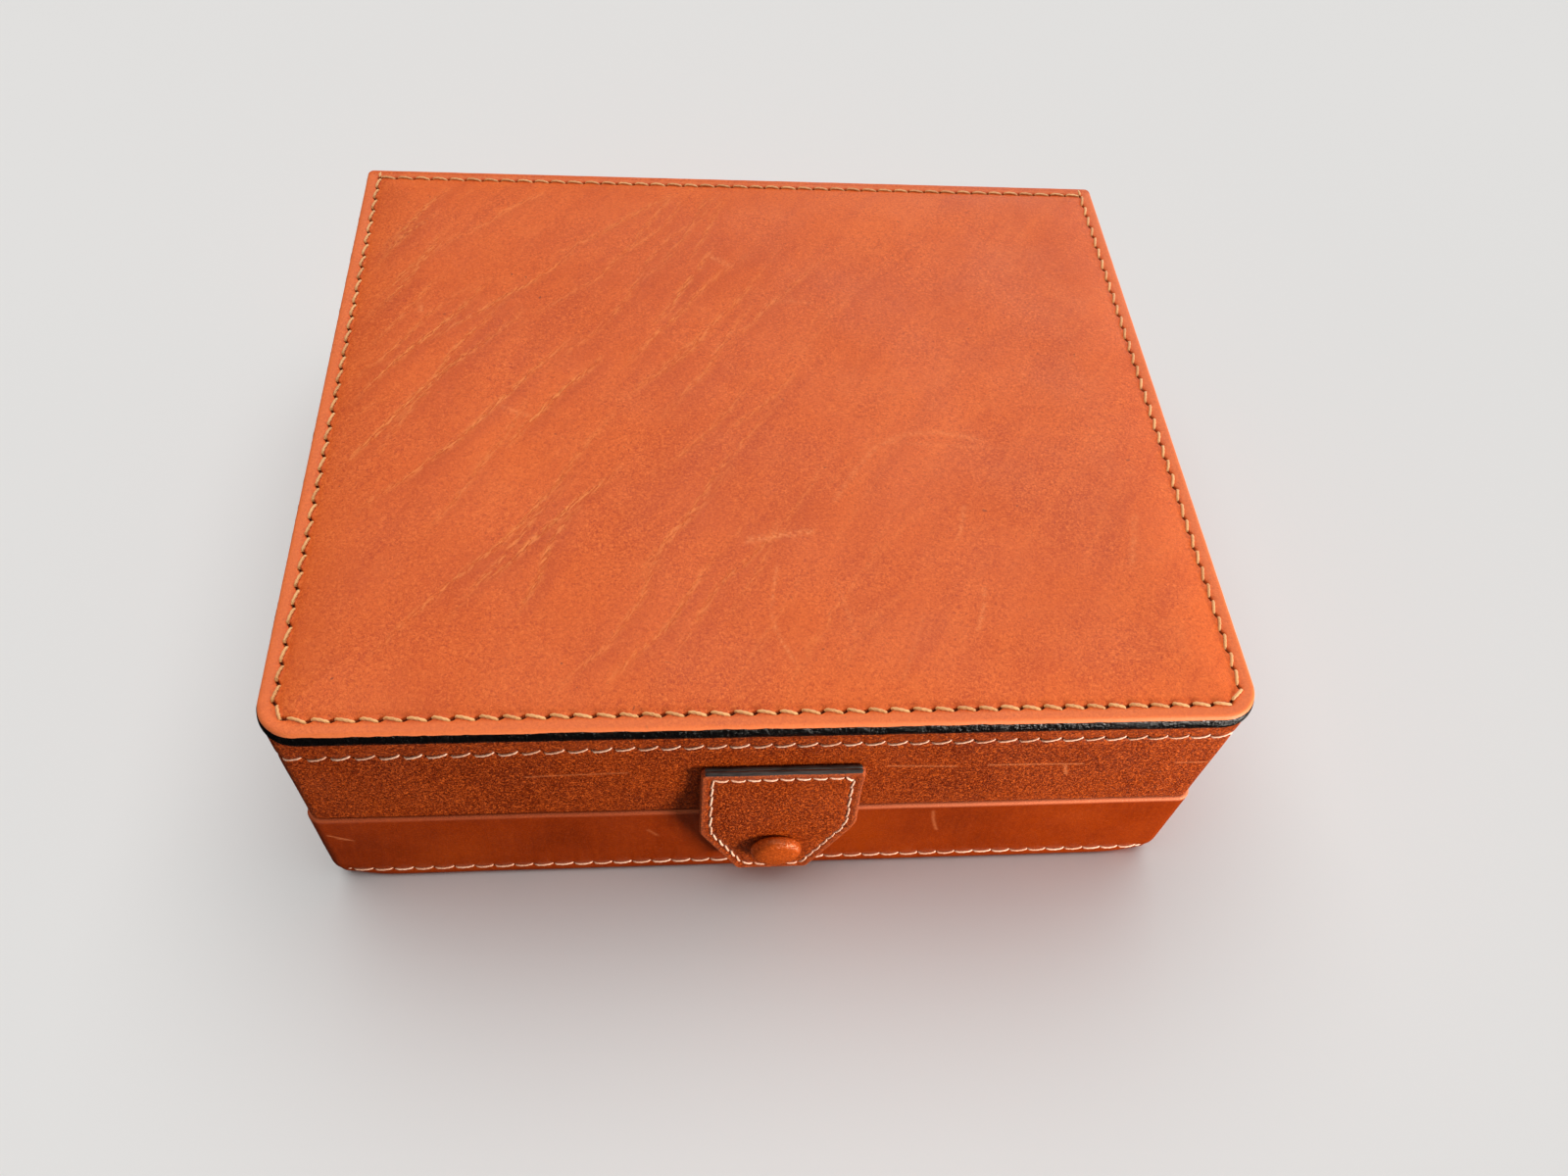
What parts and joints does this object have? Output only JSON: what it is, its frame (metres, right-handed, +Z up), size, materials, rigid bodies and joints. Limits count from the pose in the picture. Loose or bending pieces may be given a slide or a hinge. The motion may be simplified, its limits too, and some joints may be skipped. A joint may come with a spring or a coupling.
{
  "type": "jewellery case",
  "caption": "Rectangular leather-covered jewellery case with a padded stitched lid, a leather spine hinge, a press-stud tab, and suede compartments and ring rolls inside",
  "frame": {"origin": "the centre of the case's flat underside, on the table it stands on", "axes": "+X to the right along the front, +Y from the front with the tab to the hinge at the back, +Z up"},
  "size_m": [0.2, 0.18, 0.0736],
  "materials": {
    "saddle_leather": "orange-tan pull-up leather with growth wrinkles, satin",
    "grained_leather": "brown-orange leather with a fine pebble grain, satin",
    "smooth_leather": "smooth brown-orange leather, semi-gloss; cut edges painted gloss black",
    "thread": "waxed pale tan thread",
    "suede": "brown suede, matt",
    "board": "dense grey-brown board, matt",
    "foam": "felt padding, matt",
    "snap_metal": "antique brass plate",
    "mirror": "silvered glass"
  },
  "bodies": {
    "base": {"bottom_leather": "smooth_leather", "base_board_front": "board", "base_board_back": "board", "base_board_left": "board", "base_board_right": "board", "base_floor_board": "board", "base_band": "smooth_leather", "spine_base": "saddle_leather", "base_band_thread": "thread", "base_rim_trim": "smooth_leather", "base_lining_front": "suede", "base_lining_back": "suede", "base_lining_left": "suede", "base_lining_right": "suede", "base_floor_lining": "suede", "divider_long": "suede", "divider_cross": "suede", "divider_short": "suede", "ring_roll_bed": "suede", "ring_roll_1": "suede", "ring_roll_2": "suede", "ring_roll_3": "suede", "ring_roll_4": "suede", "ring_roll_5": "suede", "ring_roll_6": "suede", "ring_roll_7": "suede", "snap_stud": "snap_metal", "snap_rivet": "snap_metal"},
    "lid": {"top_leather": "saddle_leather", "top_padding": "foam", "top_underlay": "smooth_leather", "top_thread": "thread", "lid_board_front": "board", "lid_board_back": "board", "lid_board_left": "board", "lid_board_right": "board", "lid_top_board": "board", "lid_band": "grained_leather", "spine_lid": "saddle_leather", "lid_band_thread": "thread", "lid_rim_trim": "smooth_leather", "lid_lining_front": "suede", "lid_lining_back": "suede", "lid_lining_left": "suede", "lid_lining_right": "suede", "lid_ceiling_lining": "suede", "mirror_glass": "mirror", "mirror_frame": "saddle_leather", "tab_anchor_backing": "smooth_leather", "tab_anchor_face": "grained_leather", "tab_anchor_thread": "thread"},
    "tab": {"tab_backing": "smooth_leather", "tab_face": "grained_leather", "tab_thread": "thread", "snap_cap_leather": "saddle_leather", "snap_cap_post": "snap_metal", "snap_socket": "snap_metal"}
  },
  "joints": [
    {"name": "lid_hinge", "type": "hinge", "parent": "base", "child": "lid", "pos_m": [0, 0.0861, 0.032], "axis": [-1, 0, 0], "range_deg": [0, 140]},
    {"name": "tab_flex", "type": "hinge", "parent": "lid", "child": "tab", "pos_m": [0.0026, -0.0874, 0.0475], "axis": [-1, 0, 0], "range_deg": [0, 60]}
  ]
}
